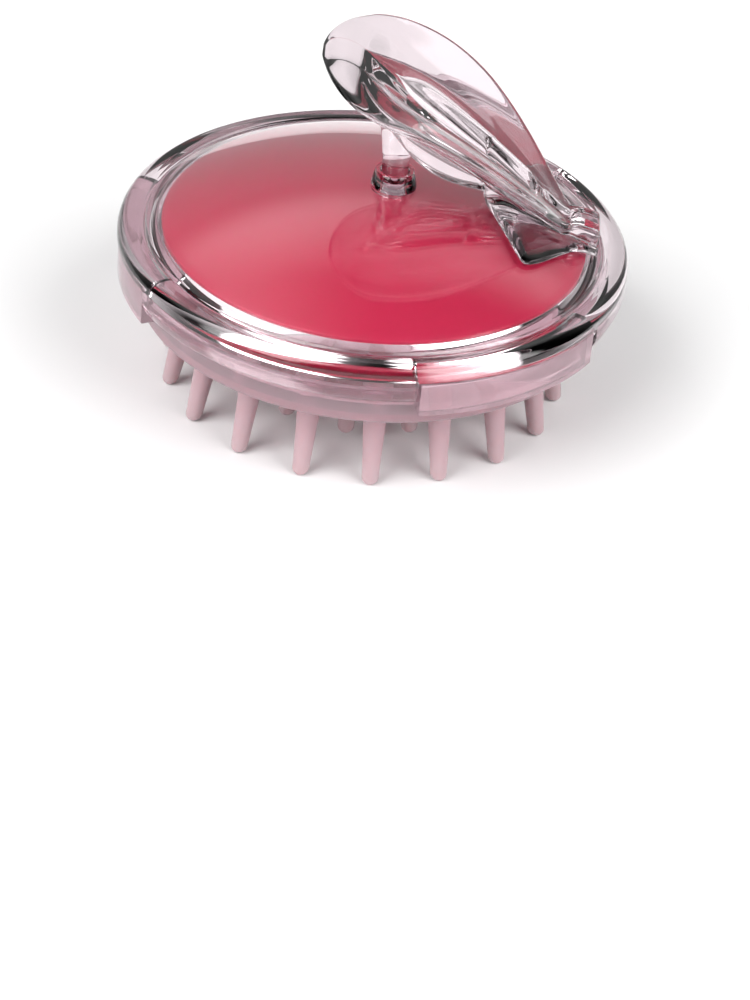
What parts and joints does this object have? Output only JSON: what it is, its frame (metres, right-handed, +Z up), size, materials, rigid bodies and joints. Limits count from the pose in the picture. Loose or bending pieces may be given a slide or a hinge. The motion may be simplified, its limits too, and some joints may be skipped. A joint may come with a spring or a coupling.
{
  "type": "scalp massager brush",
  "caption": "Round hand-held scalp massager with a clear domed cap, coloured liner, petal-shaped finger grip and rings of soft conical tines under a clear base plate.",
  "frame": {"origin": "on the cap's axis, in the plane of the outer tine tips that the brush stands on", "axes": "+Z up along the cap's axis, from the tines to the cap; +X from the cap's axis towards the root of the finger grip; +Y to complete a right-handed set"},
  "size_m": [0.088, 0.088, 0.0665],
  "materials": {
    "clear_plastic": "clear, polished, faintly mauve",
    "pink_plastic": "opaque satin pink, seen through the clear cap",
    "soft_tine": "milky translucent soft elastomer, satin"
  },
  "bodies": {
    "root": {"cap_shell": "clear_plastic", "finger_grip": "clear_plastic", "base_plate": "clear_plastic", "colour_liner": "pink_plastic", "tine_centre": "soft_tine", "tine_inner_01": "soft_tine", "tine_inner_02": "soft_tine", "tine_inner_03": "soft_tine", "tine_inner_04": "soft_tine", "tine_inner_05": "soft_tine", "tine_inner_06": "soft_tine", "tine_middle_01": "soft_tine", "tine_middle_02": "soft_tine", "tine_middle_03": "soft_tine", "tine_middle_04": "soft_tine", "tine_middle_05": "soft_tine", "tine_middle_06": "soft_tine", "tine_middle_07": "soft_tine", "tine_middle_08": "soft_tine", "tine_middle_09": "soft_tine", "tine_middle_10": "soft_tine", "tine_middle_11": "soft_tine", "tine_middle_12": "soft_tine", "tine_outer_01": "soft_tine", "tine_outer_02": "soft_tine", "tine_outer_03": "soft_tine", "tine_outer_04": "soft_tine", "tine_outer_05": "soft_tine", "tine_outer_06": "soft_tine", "tine_outer_07": "soft_tine", "tine_outer_08": "soft_tine", "tine_outer_09": "soft_tine", "tine_outer_10": "soft_tine", "tine_outer_11": "soft_tine", "tine_outer_12": "soft_tine", "tine_outer_13": "soft_tine", "tine_outer_14": "soft_tine", "tine_outer_15": "soft_tine", "tine_outer_16": "soft_tine", "tine_outer_17": "soft_tine", "tine_outer_18": "soft_tine"}
  },
  "joints": []
}
